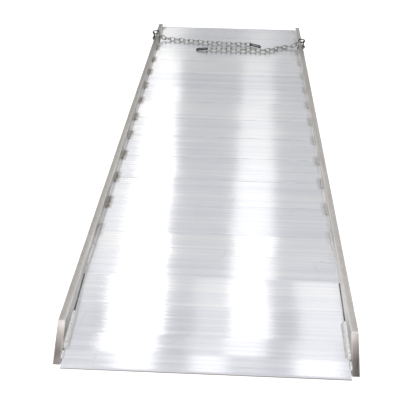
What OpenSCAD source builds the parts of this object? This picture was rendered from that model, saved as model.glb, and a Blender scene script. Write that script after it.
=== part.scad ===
// One-piece aluminium loading ramp with side rails and two safety chains.
// The ramp lies flat. +Y runs up the ramp to the lip, +X to the right, +Z up.
// The origin is on the ground under the middle of the ramp.

/* [Deck] */
// Clear width between the rails
deck_width = 716; // [560:4:860]
// Width of one wide plank, measured along the ramp
plank_pitch = 152.4; // [145:0.2:160]
// Width of one narrow plank
narrow_pitch = 101.6; // [96:0.2:110]
// Height of the plain deck surface above the ground
deck_height = 37; // [34:0.5:42]
// Thickness of the deck skin
skin = 2.6; // [2:0.2:4]
// Thickness of the plank legs
leg = 2.4; // [2:0.2:3.4]
// Height of the anti-slip ribs
rib_height = 0.6; // [0.4:0.1:1.2]
// Width of one anti-slip rib at its root
rib_width = 3; // [2:0.2:4]

/* [Approach] */
// Length of the toe extrusion, measured along the ramp
toe_length = 208; // [196:1:224]
// Height of the sloped surface where the toe bevel starts
bend_height = 12; // [11:0.5:14]
// Length of the toe bevel
bevel_length = 51; // [46:1:58]
// Thickness of the ground edge of the toe
toe_edge = 3; // [2.4:0.2:4]
// Open gap between the sloped planks and each rail
approach_gap = 2.5; // [2:0.5:5]

/* [Rails] */
// Width of the rail tube
rail_width = 19; // [18:0.5:24]
// Height of the rail tube
rail_height = 63.5; // [62:0.5:72]
// Wall thickness of the rail tube
rail_wall = 3; // [2.4:0.2:3.6]
// Radius of the rounded upper corner at the high end
tip_radius = 30; // [24:1:34]
// Distance the toe reaches past the rails
toe_reach = 12; // [8:1:16]

/* [Lip] */
// Length of the lip beyond the last plank
lip_run = 27; // [22:1:34]
// Downward bend of the lip
lip_angle = 10; // [6:1:14]
// Thickness of the lip plate
lip_plate = 5; // [4:0.5:6]

/* [Chain] */
// Diameter of the chain wire
wire = 5.5; // [5:0.1:5.8]
// Distance of the left U-bolt from the high end of the deck
left_anchor = 207; // [195:1:225]
// Distance of the right U-bolt from the high end of the deck
right_anchor = 270; // [262:1:280]

/* [Hidden] */
$fn = 48;
e = 0.01;
plank_total = 12;
narrow_total = 2;
rib_pitch = 12.7;
half_deck = deck_width / 2;
slope_start = plank_total * plank_pitch + narrow_total * narrow_pitch;
toe_start = slope_start + narrow_pitch;
toe_end = toe_start + toe_length;
bend_at = toe_end - bevel_length;
high_end = (toe_end - lip_run) / 2;
slope_angle = atan2(deck_height - bend_height, bend_at - slope_start);
bevel_angle = atan2(bend_height - toe_edge, bevel_length);
rail_low_end = toe_end - toe_reach;
mitre_run = 86;
plate = 3;
bead = 6;
toe_bead = 13;
lip_root = 8;
rib_stop = toe_bead + 1;

function deck_y(back) = high_end - back;
function slope_z(back) = deck_height - (back - slope_start) * tan(slope_angle);

// Chain sizes
gap = 0.3;
link_inside = 24.9;
link_opening = 10;
bow_r = (link_opening + wire) / 2;
reach = (link_inside + wire) / 2;
link_step = link_inside - gap;
near_pivot = link_step - reach;
link_total = 22;
dive_links = 5;
chain_rest = deck_height + rib_height + bow_r + wire / 2 + 0.2;

// U-bolt sizes
rod = 6;
leg_spacing = 12.5;
nut_height = 3.2;
nut_flats = 10;
washer_thick = 1.2;
washer_d = 12;
washer_hole = 6.4;
leg_past_nut = 1;
bow_reach = 14.5;
bow_corner = 5;
rod_hole = 6.6;
low_leg = deck_height + 7;
high_leg = low_leg + leg_spacing;
rail_outer = half_deck + rail_width;
anchor_x = rail_outer + 4.5;

// Hook sizes
hook_wire = 6;
hook_r = 9.5;
hook_straight = 36;
gate_rod = 5;
gate_from = 4;
gate_to = 31;
tongue = 2.2;
tongue_r = 2.3;
nose_gap = 1.6;
hinge_stub = 0.6;
slot = 2.8;
fork = 7;
pin_d = 2;

// Draws a profile given as [distance from the high end, height] and extrudes it across the ramp.
module across(width) {
  translate([width / 2, high_end, 0])
    rotate([90, 0, -90])
      linear_extrude(height = width)
        children();
}

// One deck plank, cut through its width: skin, legs and feet.
module plank_profile(pitch, legs) {
  bay = (pitch - leg) / (legs - 1);
  foot = 9;
  groove = 0.5;
  depth = deck_height - 1;
  polygon([
    [0, deck_height - skin], [0, deck_height - groove], [groove, deck_height],
    [pitch - groove, deck_height], [pitch, deck_height - groove], [pitch, deck_height - skin]
  ]);
  for (i = [0 : legs - 1])
    translate([i * bay, deck_height - depth])
      square([leg, depth - skin + e]);
  for (i = [0 : legs - 1])
    translate([i == legs - 1 ? pitch - foot : i * bay, deck_height - depth])
      square([foot, leg]);
}

// One anti-slip rib, standing on a surface at the given height.
module rib_profile(height) {
  crown = rib_width / 3;
  translate([0, height - e])
    polygon([
      [-rib_width / 2, 0], [rib_width / 2, 0],
      [crown / 2, rib_height + e], [-crown / 2, rib_height + e]
    ]);
}

module plank(from, pitch, legs) {
  ribs = round(pitch / rib_pitch);
  color([0.8, 0.81, 0.83])
    union() {
      across(deck_width)
        translate([from, 0])
          plank_profile(pitch, legs);
      across(deck_width - 2 * rib_stop)
        for (i = [0 : ribs - 1])
          translate([from + (i + 0.5) * pitch / ribs, 0])
            rib_profile(deck_height);
    }
}

module wide_plank(number) {
  plank((number - 1) * plank_pitch, plank_pitch, 4);
}

module narrow_plank(number) {
  plank(plank_total * plank_pitch + (number - 1) * narrow_pitch, narrow_pitch, 3);
}

// The first sloped plank. Both sloped planks are narrower than the deck, so a gap shows at each rail.
module approach_plank() {
  width = deck_width - 2 * approach_gap;
  low = slope_z(toe_start);
  ribs = 8;
  color([0.8, 0.81, 0.83])
    union() {
      across(width) {
        polygon([
          [slope_start, deck_height - skin], [slope_start, deck_height],
          [toe_start, low], [toe_start, low - skin]
        ]);
        translate([slope_start, 1])
          square([leg, deck_height - 1 - skin / 2]);
        translate([toe_start - leg, 1])
          square([leg, low - 1 - skin / 2]);
        translate([slope_start, 1])
          square([12, leg]);
        translate([toe_start - 12, 1])
          square([12, leg]);
      }
      across(width - 2 * rib_stop)
        for (i = [0 : ribs - 1])
          translate([slope_start + (i + 0.5) * narrow_pitch / ribs, 0])
            rib_profile(slope_z(slope_start + (i + 0.5) * narrow_pitch / ribs));
    }
}

// The toe extrusion: sloped skin, two legs and a bevelled ground edge.
module toe_plank() {
  width = deck_width - 2 * approach_gap;
  top = slope_z(toe_start);
  thick = skin + 0.6;
  web = (toe_start + bend_at) / 2 + 12;
  solid_from = bend_at - 8;
  slope_ribs = 12;
  bevel_ribs = 5;
  color([0.8, 0.81, 0.83])
    union() {
      across(width) {
        polygon([
          [toe_start, top], [bend_at, bend_height], [toe_end, toe_edge], [toe_end, 0],
          [solid_from, 0], [solid_from, slope_z(solid_from) - thick], [toe_start, top - thick]
        ]);
        translate([toe_start, 0])
          square([leg, top - thick / 2]);
        translate([toe_start, 0])
          square([14, leg]);
        translate([web, 0])
          square([leg, slope_z(web) - thick / 2]);
        translate([web - 6, 0])
          square([14, leg]);
      }
      across(width - 2 * rib_stop) {
        for (i = [0 : slope_ribs - 1])
          translate([toe_start + (i + 0.5) * (bend_at - toe_start) / slope_ribs, 0])
            rib_profile(slope_z(toe_start + (i + 0.5) * (bend_at - toe_start) / slope_ribs));
        for (i = [0 : bevel_ribs - 1])
          translate([bend_at + (i + 0.6) * (bevel_length - 6) / bevel_ribs, 0])
            rib_profile(bend_height - (i + 0.6) * (bevel_length - 6) / bevel_ribs * tan(bevel_angle));
      }
    }
}

// The lip plate, bent down so that it lies on a tailgate. Its underside is level next to the plank.
module top_lip() {
  underside = deck_height - lip_plate;
  drop = tan(lip_angle);
  color([0.78, 0.79, 0.81])
    across(deck_width)
      polygon([
        [0, deck_height], [-lip_run, deck_height - lip_run * drop],
        [-lip_run, underside - lip_run * drop + 1], [1 - lip_run, underside - (lip_run - 1) * drop],
        [-lip_root, underside - lip_root * drop], [0, underside - lip_root * drop]
      ]);
}

// The outline of a rail seen from the side, less a margin at the high tip and along the mitre.
module rail_outline(margin) {
  mitre = sqrt(mitre_run * mitre_run + rail_height * rail_height);
  cut = margin * mitre / rail_height;
  difference() {
    polygon([
      [margin, 0], [rail_low_end - cut, 0],
      [rail_low_end - mitre_run - cut, rail_height], [margin, rail_height]
    ]);
    difference() {
      square([tip_radius, rail_height + 1]);
      translate([0, -1])
        square([tip_radius, rail_height - tip_radius + 1]);
      translate([tip_radius, rail_height - tip_radius])
        circle(r = tip_radius - margin);
    }
  }
}

module rail_slab(x_from, width) {
  translate([x_from + width, high_end, 0])
    rotate([90, 0, -90])
      linear_extrude(height = width)
        children();
}

module rail_tube(anchor) {
  hole_y = deck_y(anchor);
  color([0.72, 0.71, 0.69])
    difference() {
      rail_slab(half_deck, rail_width)
        rail_outline(plate);
      rail_slab(half_deck + rail_wall, rail_width - 2 * rail_wall)
        translate([-1, rail_wall])
          square([rail_low_end, rail_height - 2 * rail_wall]);
      for (z = [low_leg, high_leg])
        translate([half_deck - 1, hole_y, z])
          rotate([0, 90, 0])
            cylinder(h = rail_width + 2, d = rod_hole);
    }
}

module rail_end_cap() {
  color([0.7, 0.69, 0.67])
    rail_slab(half_deck, rail_width)
      difference() {
        intersection() {
          rail_outline(0);
          square([tip_radius, rail_height]);
        }
        rail_outline(plate);
      }
}

module rail_mitre_plate() {
  color([0.6, 0.57, 0.55])
    rail_slab(half_deck, rail_width)
      difference() {
        intersection() {
          rail_outline(0);
          translate([rail_low_end - 1.5 * mitre_run, 0])
            square([2 * mitre_run, rail_height]);
        }
        rail_outline(plate);
      }
}

// A fillet weld bead in the corner between the deck and the right rail, centred on its length.
module fillet(length, size) {
  run = length - 2 * size;
  intersection() {
    union() {
      rotate([90, 0, 0])
        cylinder(h = run, r = size, center = true);
      for (s = [-1, 1])
        translate([0, s * run / 2, 0])
          sphere(r = size);
    }
    translate([-size, -length, 0])
      cube([size, 2 * length, size]);
  }
}

// Stitch beads at every plank seam, plus long runs beside the last flat planks.
module deck_welds(long_runs) {
  color([0.75, 0.74, 0.72]) {
    for (i = [1 : plank_total - 1])
      translate([half_deck, deck_y(i * plank_pitch), deck_height])
        fillet(46 + 8 * (i % 3), bead);
    for (i = [0 : long_runs - 1])
      translate([half_deck, deck_y(plank_total * plank_pitch + (i + 0.18) * narrow_pitch), deck_height])
        fillet(88, bead);
  }
}

module toe_weld() {
  slope_from = toe_start + 34;
  slope_to = bend_at - 1;
  slope_mid = (slope_from + slope_to) / 2;
  bevel_to = toe_end - toe_reach - 12;
  bevel_mid = (bend_at + 1 + bevel_to) / 2;
  color([0.82, 0.81, 0.8]) {
    translate([half_deck, deck_y(slope_mid), slope_z(slope_mid)])
      rotate([slope_angle, 0, 0])
        fillet(slope_to - slope_from, toe_bead);
    translate([half_deck, deck_y(bevel_mid), bend_height - (bevel_mid - bend_at) * tan(bevel_angle)])
      rotate([bevel_angle, 0, 0])
        fillet(bevel_to - bend_at - 1, bead);
  }
}

// The bead that closes the top edge of a slanted plate.
module mitre_weld() {
  bead_r = 2.4;
  color([0.85, 0.84, 0.83])
    difference() {
      translate([half_deck + 0.4, deck_y(rail_low_end - mitre_run), rail_height])
        rotate([0, 90, 0])
          cylinder(h = rail_width - 0.8, r = bead_r);
      rail_slab(half_deck - 1, rail_width + 2)
        rail_outline(0);
    }
}

// Stitch beads under the lip, in the corner with the last plank.
module lip_weld_row() {
  lip_bead = 4;
  stitch = 44;
  color([0.75, 0.74, 0.72])
    for (i = [-2 : 2])
      translate([i * deck_width / 5, high_end, deck_height - lip_plate - lip_root * tan(lip_angle)])
        rotate([0, 90, 0])
          intersection() {
            cylinder(h = stitch, r = lip_bead, center = true);
            translate([0, 0, -stitch])
              cube([lip_bead, lip_bead, 2 * stitch]);
          }
}

// A square-cornered U-bolt: two threaded legs through the rail and a bow outside it.
module u_bolt(anchor) {
  inner_end = half_deck - washer_thick - nut_height - leg_past_nut;
  leg_end = rail_outer + bow_reach - rod / 2 - bow_corner;
  mid = (low_leg + high_leg) / 2;
  bow = leg_spacing / 2 - bow_corner;
  color([0.55, 0.56, 0.55])
    translate([0, deck_y(anchor), mid])
      union() {
        for (s = [-1, 1]) {
          translate([inner_end, 0, s * leg_spacing / 2])
            rotate([0, 90, 0])
              cylinder(h = leg_end - inner_end, d = rod);
          translate([leg_end, 0, s * bow])
            rotate([90, 0, 0])
              rotate([0, 0, s > 0 ? 0 : -90])
                rotate_extrude(angle = 90)
                  translate([bow_corner, 0])
                    circle(d = rod);
        }
        translate([leg_end + bow_corner, 0, -bow])
          cylinder(h = 2 * bow, d = rod);
      }
}

module washer_pair(anchor) {
  color([0.62, 0.62, 0.6])
    for (z = [low_leg, high_leg])
      translate([half_deck - washer_thick, deck_y(anchor), z])
        rotate([0, 90, 0])
          difference() {
            cylinder(h = washer_thick, d = washer_d);
            translate([0, 0, -1])
              cylinder(h = washer_thick + 2, d = washer_hole);
          }
}

module nut_pair(anchor) {
  color([0.6, 0.6, 0.58])
    for (z = [low_leg, high_leg])
      translate([half_deck - washer_thick - nut_height, deck_y(anchor), z])
        rotate([0, 90, 0])
          difference() {
            rotate([0, 0, 30])
              cylinder(h = nut_height, d = nut_flats / cos(30), $fn = 6);
            translate([0, 0, -1])
              cylinder(h = nut_height + 2, d = rod + 0.1);
          }
}

// A welded link lying in the XY plane, centred, with its length along X.
module flat_link() {
  side = link_inside - link_opening;
  for (s = [-1, 1]) {
    translate([s * side / 2, 0, 0])
      rotate([0, 0, s > 0 ? -90 : 90])
        rotate_extrude(angle = 180)
          translate([bow_r, 0])
            circle(d = wire);
    translate([-side / 2, s * bow_r, 0])
      rotate([0, 90, 0])
        cylinder(h = side, d = wire);
  }
}

// Chain path. Odd links are flat to the hinge axis, even links stand upright.
// Heights and outward distances are measured from the first link's lower wire.
function is_flat(k) = k % 2 == 1;
function pivot_after(k) = is_flat(k) ? reach : near_pivot;
function turn_after(k) = is_flat(k) ? near_pivot : reach;

first_low = high_leg - rod / 2 - gap - wire / 2;
dive = [90, 8, -46, -34];

// Position [inward distance, height] of link k while the chain drops from the rail to the deck.
function drop_pos(k) = k == 1
  ? [0, first_low + reach]
  : drop_pos(k - 1) + step_vec(k - 1, drop_angle(k - 1), drop_angle(k));
function step_vec(k, a, b) = [
  pivot_after(k) * cos(a) + (link_step - pivot_after(k)) * cos(b),
  pivot_after(k) * sin(a) + (link_step - pivot_after(k)) * sin(b)
];
function contact_height() = drop_pos(4)[1] + near_pivot * sin(dive[3]);
function last_drop() = -asin((contact_height() - chain_rest) / (2 * reach));
function drop_angle(k) = k <= 4 ? dive[k - 1] : k == 5 ? last_drop() : 0;

// Position [inward distance, distance towards the toe] and heading of the links on the deck.
left_heads = [0, 0, 0, 0, 0, 5, 9, 12, 9, 7, 6, 9, 10, 6, 3, 5, 9, 6, 1, -3, -2, 4, 12];
right_heads = [0, 0, 0, 0, 0, 16, 30, 38, 32, 18, 6, -4, -7, 3, 9, 2, -7, -4, 3, 1, -3, 2, -6];
function head(list, k) = list[k - 1];
function run_pos(list, k) = k == dive_links
  ? [drop_pos(dive_links)[0], 0]
  : run_pos(list, k - 1) + turn_vec(k - 1, head(list, k - 1), head(list, k));
function turn_vec(k, a, b) = [
  turn_after(k) * cos(a) + (link_step - turn_after(k)) * cos(b),
  turn_after(k) * sin(a) + (link_step - turn_after(k)) * sin(b)
];

// Places a part drawn along +X at link k of the chain that starts at the left rail.
module at_link(list, anchor, k) {
  p = k <= dive_links ? drop_pos(k) : [run_pos(list, k)[0], chain_rest];
  off = k <= dive_links ? 0 : run_pos(list, k)[1];
  translate([-anchor_x + p[0], deck_y(anchor) - off, p[1]])
    rotate([0, 0, k <= dive_links ? 0 : -head(list, k)])
      rotate([0, -drop_angle(k), 0])
        children();
}

module links(list, anchor, from, to) {
  color([0.42, 0.42, 0.38])
    for (k = [from : to])
      at_link(list, anchor, k)
        rotate([is_flat(k) ? 0 : 90, 0, 0])
          flat_link();
}

// The end hook lies nearly flat, with its far end resting on the deck.
hook_tilt = 7.5;
hook_step = near_pivot + wire / 2 - hook_wire / 2;
module at_hook(list, anchor) {
  at_link(list, anchor, link_total)
    translate([hook_step, 0, 0])
      rotate([0, 0, -(head(list, link_total + 1) - head(list, link_total))])
        rotate([0, hook_tilt, 0])
          translate([hook_r, 0, 0])
            children();
}

module half_bow(s) {
  rotate([0, 0, s > 0 ? -90 : 90])
    rotate_extrude(angle = 180)
      translate([hook_r, 0])
        circle(d = hook_wire);
}

// Hook body: a closed back, two bows, and two stubs that leave room for the gate.
module hook_body() {
  nose_end = gate_to + nose_gap;
  color([0.5, 0.5, 0.47])
    difference() {
      union() {
        half_bow(-1);
        translate([hook_straight, 0, 0])
          half_bow(1);
        translate([0, -hook_r, 0])
          rotate([0, 90, 0])
            cylinder(h = hook_straight, d = hook_wire);
        translate([0, hook_r, 0])
          rotate([0, 90, 0])
            cylinder(h = hinge_stub, d = hook_wire);
        translate([nose_end, hook_r, 0])
          rotate([0, 90, 0])
            cylinder(h = hook_straight - nose_end, d = hook_wire);
        translate([0, hook_r - tongue_r, -tongue / 2])
          cube([gate_from, 2 * tongue_r, tongue]);
        translate([gate_from, hook_r, 0])
          cylinder(h = tongue, r = tongue_r, center = true);
        translate([gate_to - 2.2, hook_r - nose_gap, -tongue / 2])
          cube([nose_end - gate_to + 3, 2 * nose_gap, tongue]);
      }
      translate([gate_from, hook_r, 0])
        cylinder(h = 10, d = pin_d + 0.1, center = true);
    }
}

// Spring gate: a rod forked at both ends, over the hinge tongue and the nose tongue.
module hook_gate() {
  color([0.56, 0.56, 0.53])
    difference() {
      translate([gate_from - 2.6, hook_r, 0])
        rotate([0, 90, 0])
          cylinder(h = gate_to + 1.2 - gate_from + 2.6, d = gate_rod);
      translate([gate_from - 4, hook_r - 4, -slot / 2])
        cube([fork, 8, slot]);
      translate([gate_to - 3, hook_r - 4, -slot / 2])
        cube([fork, 8, slot]);
      translate([gate_from, hook_r, 0])
        cylinder(h = 10, d = pin_d + 0.12, center = true);
    }
}

module gate_pin() {
  color([0.6, 0.6, 0.58])
    translate([gate_from, hook_r, 0])
      cylinder(h = 5.4, d = pin_d, center = true);
}

module mirrored() {
  mirror([1, 0, 0])
    children();
}

mirrored() rail_tube(left_anchor);  // rail_left
rail_tube(right_anchor);  // rail_right
mirrored() rail_mitre_plate();  // mitre_plate_left
rail_mitre_plate();  // mitre_plate_right
mirrored() rail_end_cap();  // end_cap_left
rail_end_cap();  // end_cap_right
wide_plank(1);  // plank_1
wide_plank(2);  // plank_2
wide_plank(3);  // plank_3
wide_plank(4);  // plank_4
wide_plank(5);  // plank_5
wide_plank(6);  // plank_6
wide_plank(7);  // plank_7
wide_plank(8);  // plank_8
wide_plank(9);  // plank_9
wide_plank(10);  // plank_10
wide_plank(11);  // plank_11
wide_plank(12);  // plank_12
narrow_plank(1);  // plank_13
narrow_plank(2);  // plank_14
approach_plank();
toe_plank();
top_lip();
mirrored() deck_welds(2);  // deck_welds_left
deck_welds(1);  // deck_welds_right
union() {  // toe_welds
  toe_weld();
  mirrored() toe_weld();
}
union() {  // mitre_welds
  mitre_weld();
  mirrored() mitre_weld();
}
lip_weld_row();  // lip_welds
mirrored() u_bolt(left_anchor);  // u_bolt_left
u_bolt(right_anchor);  // u_bolt_right
union() {  // u_bolt_washers
  mirrored() washer_pair(left_anchor);
  washer_pair(right_anchor);
}
union() {  // u_bolt_nuts
  mirrored() nut_pair(left_anchor);
  nut_pair(right_anchor);
}
links(left_heads, left_anchor, 1, 2);  // left_chain_anchor
links(left_heads, left_anchor, 3, 9);  // left_chain_a
links(left_heads, left_anchor, 10, 15);  // left_chain_b
links(left_heads, left_anchor, 16, 22);  // left_chain_c
at_hook(left_heads, left_anchor) hook_body();  // left_hook
at_hook(left_heads, left_anchor) hook_gate();  // left_hook_gate
at_hook(left_heads, left_anchor) gate_pin();  // left_gate_pin
mirrored() links(right_heads, right_anchor, 1, 2);  // right_chain_anchor
mirrored() links(right_heads, right_anchor, 3, 11);  // right_chain_a
mirrored() links(right_heads, right_anchor, 12, 16);  // right_chain_b
mirrored() links(right_heads, right_anchor, 17, 22);  // right_chain_c
mirrored() at_hook(right_heads, right_anchor) hook_body();  // right_hook
mirrored() at_hook(right_heads, right_anchor) hook_gate();  // right_hook_gate
mirrored() at_hook(right_heads, right_anchor) gate_pin();  // right_gate_pin
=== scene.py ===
import bpy, bmesh, random
from math import asin, atan2, cos, degrees, exp, pi, radians, sin, tan
from mathutils import Matrix, Vector


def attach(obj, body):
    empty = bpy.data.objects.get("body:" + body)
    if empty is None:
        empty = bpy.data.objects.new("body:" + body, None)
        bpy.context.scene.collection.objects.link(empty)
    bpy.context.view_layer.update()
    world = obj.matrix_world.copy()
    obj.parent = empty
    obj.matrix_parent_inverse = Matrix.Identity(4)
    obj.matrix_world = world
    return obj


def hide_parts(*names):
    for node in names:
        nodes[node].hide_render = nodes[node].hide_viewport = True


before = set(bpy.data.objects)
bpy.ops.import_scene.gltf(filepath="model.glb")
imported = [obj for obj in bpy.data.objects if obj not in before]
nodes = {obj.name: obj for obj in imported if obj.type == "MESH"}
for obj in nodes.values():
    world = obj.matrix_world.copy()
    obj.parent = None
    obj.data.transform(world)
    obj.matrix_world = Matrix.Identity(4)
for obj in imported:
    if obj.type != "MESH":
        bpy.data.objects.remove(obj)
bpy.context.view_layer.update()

scene = bpy.context.scene
scene.view_settings.view_transform = "Standard"
rnd = random.Random(4)

# ---------------------------------------------------------------- driving dimensions, in mm
# x runs across the ramp, y towards the high end and z up. "back" is the distance from the deck's
# high end towards the toe.
MM = 0.001
HALF_DECK = 358.0
RAIL_OUTER = 377.0
RAIL_TOP = 63.5
DECK_TOP = 37.0
WIDE, WIDE_COUNT = 152.4, 12
NARROW, NARROW_COUNT = 101.6, 2
SLOPED_WIDTH = 711.0
SLOPE_START = WIDE_COUNT * WIDE + NARROW_COUNT * NARROW
TOE_START = SLOPE_START + NARROW
BEND, BEND_HEIGHT = TOE_START + 157, 12.0
TOE_END, TOE_EDGE = BEND + 51, 3.0
MITRE_RUN = 86.0
LIP_PLATE, LIP_RUN, LIP_ROOT, LIP_ANGLE = 5.0, 27.0, 8.0, radians(10)
HIGH = (TOE_END - LIP_RUN) / 2
SIDES = {"left": -1, "right": 1}
ANCHOR_BACK = {"left": 207, "right": 270}
LOW_LEG, HIGH_LEG = 44.0, 56.5
WASHER, NUT = 1.2, 3.2


def slope_z(back):
    """Height of the sloped top between the deck and the bend."""
    return DECK_TOP - (back - SLOPE_START) * (DECK_TOP - BEND_HEIGHT) / (BEND - SLOPE_START)


def bevel_z(back):
    """Height of the top between the bend and the ground edge."""
    return BEND_HEIGHT - (back - BEND) * (BEND_HEIGHT - TOE_EDGE) / (TOE_END - BEND)


# ---------------------------------------------------------------- camera
def make_camera():
    pitch, roll, yaw = radians(34.94), radians(1.094), radians(1.602)
    level_right = Vector((cos(yaw), sin(yaw), 0))
    ahead = Vector((-sin(yaw) * cos(pitch), cos(yaw) * cos(pitch), -sin(pitch)))
    level_up = Vector((-sin(yaw) * sin(pitch), cos(yaw) * sin(pitch), cos(pitch)))
    right = cos(roll) * level_right + sin(roll) * level_up
    up = -sin(roll) * level_right + cos(roll) * level_up
    cam = bpy.data.cameras.new("camera")
    cam.lens = 54.5279
    cam.sensor_width = 36
    cam.shift_x = -0.023317
    cam.clip_end = 100
    ob = bpy.data.objects.new("camera", cam)
    scene.collection.objects.link(ob)
    spot = Matrix.Translation((0.051, HIGH * MM - 3.360, DECK_TOP * MM + 1.181))
    ob.matrix_world = spot @ Matrix((right, up, -ahead)).transposed().to_4x4()
    scene.camera = ob


make_camera()


# ---------------------------------------------------------------- materials
class Net:
    """Small helper that adds shader nodes and links them."""

    def __init__(self, name, metallic, rough):
        self.m = bpy.data.materials.new(name)
        self.m.use_nodes = True
        self.nt = self.m.node_tree
        self.b = self.nt.nodes["Principled BSDF"]
        self.b.inputs["Metallic"].default_value = metallic
        self.b.inputs["Roughness"].default_value = rough
        self.co = self.nt.nodes.new("ShaderNodeTexCoord").outputs["Object"]

    def link(self, a, b):
        self.nt.links.new(a, b)

    def put(self, value, socket):
        """Link a socket, or set a number or a colour."""
        if hasattr(value, "is_output"):
            self.link(value, socket)
        elif isinstance(value, tuple):
            socket.default_value = (*value, 1)
        else:
            socket.default_value = value

    def math(self, op, a, b=0.0, c=None, clamp=False):
        n = self.nt.nodes.new("ShaderNodeMath")
        n.operation = op
        n.use_clamp = clamp
        self.put(a, n.inputs[0])
        self.put(b, n.inputs[1])
        if c is not None:
            self.put(c, n.inputs[2])
        return n.outputs[0]

    def times(self, a, b):
        return self.math("MULTIPLY", a, b)

    def mad(self, a, b, c):
        """a * b + c"""
        return self.math("MULTIPLY_ADD", a, b, c)

    def vector_math(self, op, a, b=None):
        n = self.nt.nodes.new("ShaderNodeVectorMath")
        n.operation = op
        self.link(a, n.inputs[0])
        if b is not None:
            self.link(b, n.inputs[1])
        return n.outputs[0]

    def scaled(self, sx, sy, sz, off=(0, 0, 0)):
        n = self.nt.nodes.new("ShaderNodeMapping")
        n.inputs["Scale"].default_value = (sx, sy, sz)
        n.inputs["Location"].default_value = off
        self.link(self.co, n.inputs["Vector"])
        return n.outputs[0]

    def noise(self, vec, scale=1.0, detail=2.0, rough=0.5):
        n = self.nt.nodes.new("ShaderNodeTexNoise")
        n.inputs["Scale"].default_value = scale
        n.inputs["Detail"].default_value = detail
        n.inputs["Roughness"].default_value = rough
        self.link(vec, n.inputs["Vector"])
        return n.outputs["Fac"]

    def white(self, value):
        n = self.nt.nodes.new("ShaderNodeTexWhiteNoise")
        n.noise_dimensions = "1D"
        self.link(value, n.inputs["W"])
        return n.outputs["Value"]

    def ramp(self, fac, stops):
        n = self.nt.nodes.new("ShaderNodeValToRGB")
        r = n.color_ramp
        while len(r.elements) < len(stops):
            r.elements.new(0.5)
        for e, (p, c) in zip(r.elements, stops):
            e.position = p
            e.color = (c, c, c, 1) if isinstance(c, (int, float)) else (*c, 1)
        self.link(fac, n.inputs["Fac"])
        return n.outputs["Color"]

    def mix(self, fac, a, b, mode="MIX"):
        n = self.nt.nodes.new("ShaderNodeMix")
        n.data_type = "RGBA"
        n.blend_type = mode
        self.put(fac, n.inputs[0])
        self.put(a, n.inputs[6])
        self.put(b, n.inputs[7])
        return n.outputs[2]

    def axis(self, i):
        n = self.nt.nodes.new("ShaderNodeSeparateXYZ")
        self.link(self.co, n.inputs[0])
        return n.outputs[i]

    def off_centre(self):
        """Distance from the ramp's centre line, in metres."""
        return self.math("ABSOLUTE", self.axis(0))

    def across(self, stops):
        """A ramp from 1 m left of the centre line (0) to 1 m right of it (1)."""
        return self.ramp(self.mad(self.axis(0), 0.5, 0.5), stops)

    def lengthwise(self, stops):
        """A ramp from 1.25 m towards the toe (0) to 1.25 m towards the high end (1)."""
        return self.ramp(self.mad(self.axis(1), 0.4, 0.5), stops)

    def bump(self, height, strength, distance):
        n = self.nt.nodes.new("ShaderNodeBump")
        n.inputs["Strength"].default_value = strength
        n.inputs["Distance"].default_value = distance
        self.link(height, n.inputs["Height"])
        last = self.b.inputs["Normal"]
        if last.is_linked:
            self.link(last.links[0].from_socket, n.inputs["Normal"])
        self.link(n.outputs[0], last)

    def set(self, color=None, rough=None):
        if color is not None:
            self.link(color, self.b.inputs["Base Color"])
        if rough is not None:
            self.link(rough, self.b.inputs["Roughness"])


def bands(w):
    """Distance back, a number for each plank and the distance to the nearest seam, in metres."""
    seams_end = 2.2
    back = w.math("SUBTRACT", HIGH * MM, w.axis(1))
    narrow = w.math("GREATER_THAN", back, WIDE_COUNT * WIDE * MM)
    pitch = w.mad(narrow, (NARROW - WIDE) * MM, WIDE * MM)
    cell = w.math("DIVIDE", back, pitch)
    index = w.mad(narrow, 40.3, w.math("FLOOR", cell))
    middle = w.math("SUBTRACT", w.math("FRACT", w.math("ADD", cell, 0.5)), 0.5)
    beyond = w.math("GREATER_THAN", back, seams_end)
    seam = w.math("ADD", beyond, w.times(w.math("ABSOLUTE", middle), pitch))
    return back, index, seam


def stitch_soot(w, seam):
    """Soot round each stitch weld: strong on the left, weaker on the right and faint near the toe."""
    patch = w.ramp(w.noise(w.scaled(60, 45, 60), 1, 4, 0.65), [(0.34, 0.35), (0.55, 1.0)])
    reach = w.ramp(seam, [(0.026, 1.0), (0.042, 0.0)])
    hand = w.across([(0.4, 1.0), (0.6, 0.42)])
    run = w.lengthwise([(0.19, 0.1), (0.28, 1.0)])
    return w.times(w.times(patch, reach), w.times(hand, run))


def rim_wear(w, base, worn, reach, amount):
    """Brighter metal along the rails' inner and outer edges."""
    out = w.off_centre()
    inner, outer = [w.math("ABSOLUTE", w.math("SUBTRACT", out, x * MM)) for x in (HALF_DECK, RAIL_OUTER)]
    near = w.ramp(w.math("MINIMUM", inner, outer), [(0.0, 1.0), (reach, 0.0)])
    patch = w.ramp(w.noise(w.scaled(40, 12, 40, (7, 3, 1)), 1, 4, 0.65), [(0.4, 0.15), (0.62, 1.0)])
    return w.mix(w.times(w.times(near, patch), amount), base, worn)


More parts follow.
